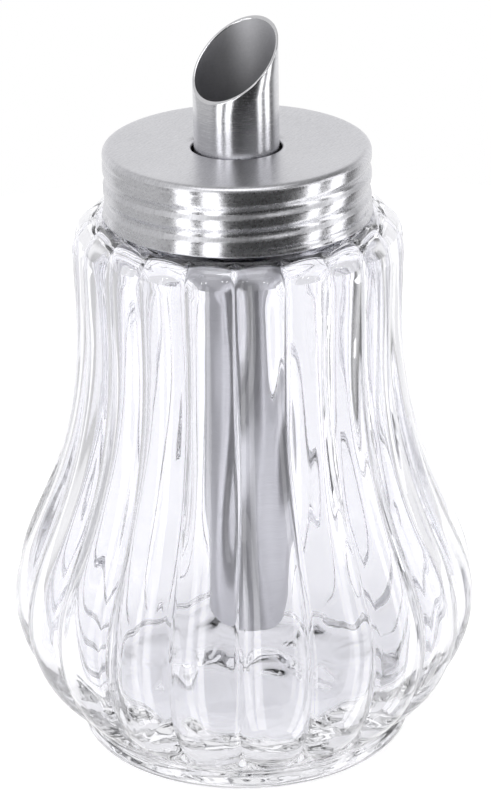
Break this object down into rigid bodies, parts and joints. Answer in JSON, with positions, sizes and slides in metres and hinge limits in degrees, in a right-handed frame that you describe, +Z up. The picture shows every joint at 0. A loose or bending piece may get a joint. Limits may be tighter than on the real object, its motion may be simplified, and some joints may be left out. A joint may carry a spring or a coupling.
{
  "type": "sugar dispenser",
  "caption": "Fluted bulbous glass jar with a round steel screw cap and a slant-cut steel dosing tube standing through its middle, for pouring a portion of sugar.",
  "frame": {"origin": "centre of the resting ring under the glass jar, on the surface it stands on", "axes": "+Z up along the jar's axis; one valley between two flutes of the jar faces -Y; the pouring lip of the tube is highest towards +X +Y"},
  "size_m": [0.0898, 0.0898, 0.1428],
  "materials": {
    "glass": "clear, smooth, faintly cool",
    "brushed_steel": "finely brushed",
    "tube_steel": "drawn, nearly polished",
    "seal": "satin, off-white",
    "seat_plastic": "moulded, dark grey"
  },
  "bodies": {
    "jar": {"glass_jar": "glass"},
    "seal": {"seal_ring": "seal"},
    "seat": {"tube_seat": "seat_plastic"},
    "cap": {"screw_cap": "brushed_steel"},
    "tube": {"dosing_tube": "tube_steel", "tube_collar": "tube_steel"}
  },
  "joints": [
    {"name": "lift_off", "type": "slide", "parent": "jar", "child": "seal", "axis": [0, 0, 1], "range_m": [0, 0.125]},
    {"name": "cap_rise", "type": "slide", "parent": "seal", "child": "seat", "axis": [0, 0, 1], "range_m": [0, 0.0063]},
    {"name": "cap_turn", "type": "hinge", "parent": "seat", "child": "cap", "pos_m": [0, 0, 0.12], "axis": [0, 0, 1], "range_deg": [0, 540]},
    {"name": "tube_swivel", "type": "hinge", "parent": "seat", "child": "tube", "pos_m": [0, 0, 0.12], "axis": [0, 0, 1], "continuous": true}
  ],
  "couplings": [
    {"joint": "cap_rise", "follows": "cap_turn", "m_per_rad": 0.00066845}
  ]
}
